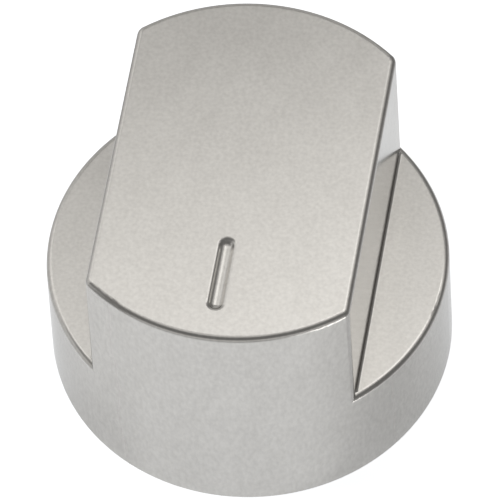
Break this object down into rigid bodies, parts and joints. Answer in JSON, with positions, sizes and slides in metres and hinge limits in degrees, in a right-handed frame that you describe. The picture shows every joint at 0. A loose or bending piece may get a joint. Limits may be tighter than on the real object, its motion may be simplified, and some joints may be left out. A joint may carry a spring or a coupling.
{
  "type": "oven control knob",
  "caption": "Round tapered control knob whose upper half is a wide bar grip between two flat shoulders, with a pointer groove in its top and a hub for a 6 mm D spindle.",
  "frame": {"origin": "centre of the rim plane that faces the panel, on the spindle's axis", "axes": "+Z away from the panel through the top face, -Y towards the end that the pointer groove is in, +X to the right seen from the front"},
  "size_m": [0.04, 0.04, 0.0287],
  "materials": {
    "satin_nickel": "satin plating on a zinc casting",
    "black_nylon": "moulded",
    "spring_steel": "plain rolled strip"
  },
  "bodies": {
    "root": {"knob_body": "satin_nickel", "shaft_insert": "black_nylon", "spring_clip": "spring_steel"}
  },
  "joints": []
}
